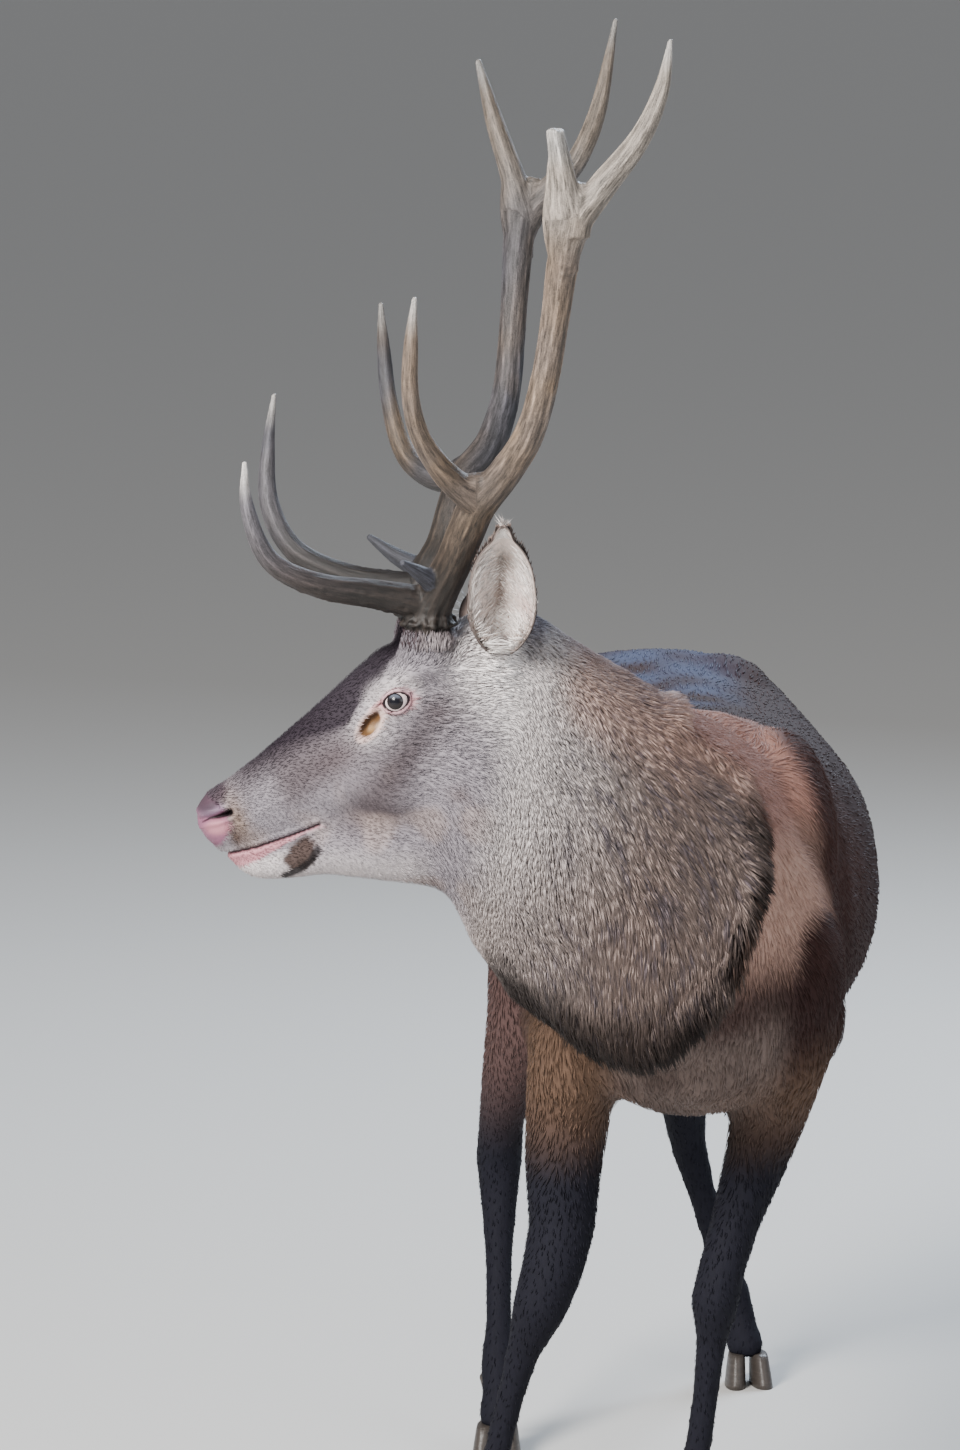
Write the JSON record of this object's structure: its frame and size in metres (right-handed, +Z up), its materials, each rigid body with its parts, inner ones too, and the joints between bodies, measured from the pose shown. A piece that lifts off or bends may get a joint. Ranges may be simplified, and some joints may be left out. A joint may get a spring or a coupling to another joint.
{
  "type": "red deer stag",
  "caption": "Life-size standing red deer stag with maned neck, head turned to its right and branched antlers, as a still display model.",
  "frame": {"origin": "centre of the bounding box at the floor under the feet", "axes": "+Z up; the trunk lies along Y and faces -Y, so the stag's left side is at +X"},
  "size_m": [0.92, 1.994, 2.1397],
  "materials": {
    "coat_body": "short dark brown coat",
    "coat_neck": "long grey-brown mane",
    "coat_head": "short grey-brown coat",
    "coat_leg": "short charcoal-brown coat",
    "coat_tail": "yellow-brown coat",
    "ear_hair": "cream hair",
    "antler_base": "dark rough bone",
    "antler_beam": "grooved grey-brown bone",
    "antler_tine": "polished pale bone",
    "eye_dark": "wet gloss",
    "hoof_horn": "satin black horn"
  },
  "bodies": {
    "root": {"antler_left_base": "antler_base", "antler_left_beam": "antler_beam", "antler_left_bez": "antler_tine", "antler_left_brow": "antler_tine", "antler_left_crown": "antler_beam", "antler_left_trez": "antler_tine", "antler_right_base": "antler_base", "antler_right_beam": "antler_beam", "antler_right_bez": "antler_tine", "antler_right_brow": "antler_tine", "antler_right_crown": "antler_beam", "antler_right_trez": "antler_tine", "claw_front_left_inner": "hoof_horn", "claw_front_left_outer": "hoof_horn", "claw_front_right_inner": "hoof_horn", "claw_front_right_outer": "hoof_horn", "claw_hind_left_inner": "hoof_horn", "claw_hind_left_outer": "hoof_horn", "claw_hind_right_inner": "hoof_horn", "claw_hind_right_outer": "hoof_horn", "dewclaw_front_left_inner": "hoof_horn", "dewclaw_front_left_outer": "hoof_horn", "dewclaw_front_right_inner": "hoof_horn", "dewclaw_front_right_outer": "hoof_horn", "dewclaw_hind_left_inner": "hoof_horn", "dewclaw_hind_left_outer": "hoof_horn", "dewclaw_hind_right_inner": "hoof_horn", "dewclaw_hind_right_outer": "hoof_horn", "ear_left": "ear_hair", "ear_right": "ear_hair", "eye_left": "eye_dark", "eye_right": "eye_dark", "head": "coat_head", "leg_front_left": "coat_leg", "leg_front_right": "coat_leg", "leg_hind_left": "coat_leg", "leg_hind_right": "coat_leg", "neck": "coat_neck", "tail": "coat_tail", "trunk": "coat_body"}
  },
  "joints": []
}
